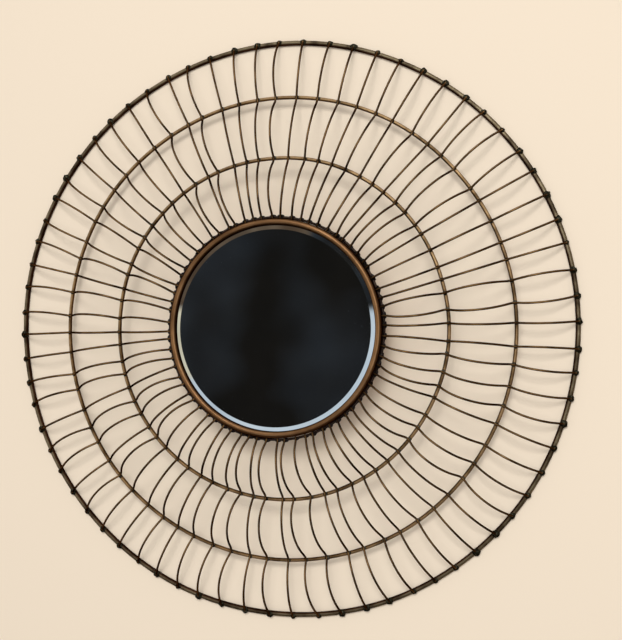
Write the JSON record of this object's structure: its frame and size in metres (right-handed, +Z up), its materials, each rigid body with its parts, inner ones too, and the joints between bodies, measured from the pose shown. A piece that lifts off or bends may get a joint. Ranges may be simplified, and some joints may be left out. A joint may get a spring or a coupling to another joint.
{
  "type": "wire sunburst wall mirror",
  "caption": "Round bevelled wall mirror in a brass bezel, held forward of the wall by tiers of scalloped radial wires brazed to concentric rod rings; hangs on a nail.",
  "frame": {"origin": "point on the wall under the nail, where the nail bears on the inside of the outer ring's top", "axes": "+X to the viewer's right, +Y into the wall, +Z up; the glass faces -Y"},
  "size_m": [0.703, 0.0767, 0.7043],
  "materials": {
    "rod": "aged copper-brown, satin",
    "wire": "aged dark brown, satin",
    "bezel": "aged copper-brown, polished",
    "mirror": "silvered, bevelled rim",
    "card": "grey board",
    "board": "hardboard, smooth side out",
    "tab": "bent strip"
  },
  "bodies": {
    "root": {"outer_ring": "rod", "second_ring": "rod", "third_ring": "rod", "inner_ring": "rod", "wire_02": "wire", "wire_03": "wire", "wire_05": "wire", "wire_06": "wire", "wire_08": "wire", "wire_09": "wire", "wire_11": "wire", "wire_12": "wire", "wire_14": "wire", "wire_15": "wire", "wire_17": "wire", "wire_18": "wire", "wire_20": "wire", "wire_21": "wire", "wire_23": "wire", "wire_24": "wire", "wire_26": "wire", "wire_27": "wire", "wire_29": "wire", "wire_30": "wire", "wire_32": "wire", "wire_33": "wire", "wire_35": "wire", "wire_36": "wire", "wire_38": "wire", "wire_39": "wire", "wire_41": "wire", "wire_42": "wire", "wire_44": "wire", "wire_45": "wire", "wire_47": "wire", "wire_48": "wire", "wire_50": "wire", "wire_51": "wire", "wire_53": "wire", "wire_54": "wire", "wire_56": "wire", "wire_57": "wire", "wire_59": "wire", "wire_60": "wire", "wire_62": "wire", "wire_63": "wire", "wire_65": "wire", "wire_66": "wire", "wire_68": "wire", "wire_69": "wire", "wire_71": "wire", "wire_72": "wire", "bezel": "bezel", "mirror_glass": "mirror", "backing_card": "card", "back_board": "board", "retaining_tab_1": "tab", "retaining_tab_2": "tab", "retaining_tab_3": "tab", "retaining_tab_4": "tab"}
  },
  "joints": []
}
